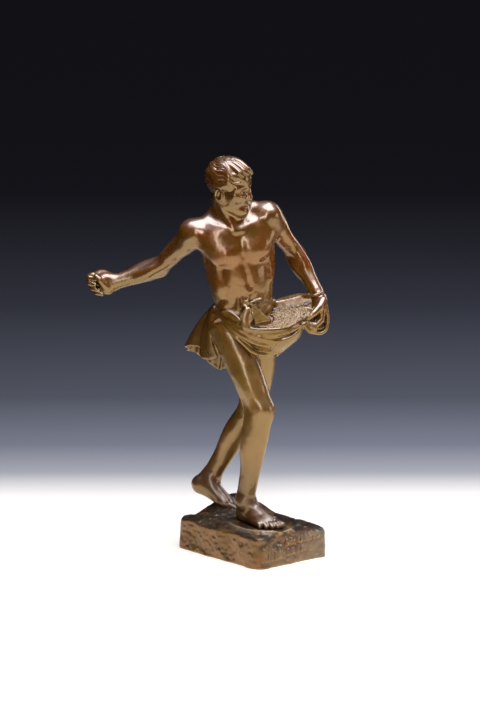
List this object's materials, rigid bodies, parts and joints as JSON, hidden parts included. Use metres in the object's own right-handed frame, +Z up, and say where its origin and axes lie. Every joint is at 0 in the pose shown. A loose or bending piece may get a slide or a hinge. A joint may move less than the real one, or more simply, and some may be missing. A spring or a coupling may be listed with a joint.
{
  "type": "bronze sower figurine",
  "caption": "Bronze figurine of a bare-chested sower in mid stride on a rocky plinth, fist of seed drawn back, apron gathered into a bag of grain.",
  "frame": {"origin": "middle of the plinth's flat underside", "axes": "+Z up; -Y towards the viewer of the main view, whom the chest faces; +X to that viewer's right. The stride runs from the far left to the near right, 43 degrees from +X towards -Y."},
  "size_m": [0.1584, 0.0853, 0.2595],
  "materials": {
    "figure_bronze": "cast bronze, dark brown polished patina rubbed through to gold on the high points",
    "plinth_bronze": "cast bronze, rough, dark brown patina with olive and gold flecks"
  },
  "bodies": {
    "root": {"sower_figure": "figure_bronze", "rocky_plinth": "plinth_bronze"}
  },
  "joints": []
}
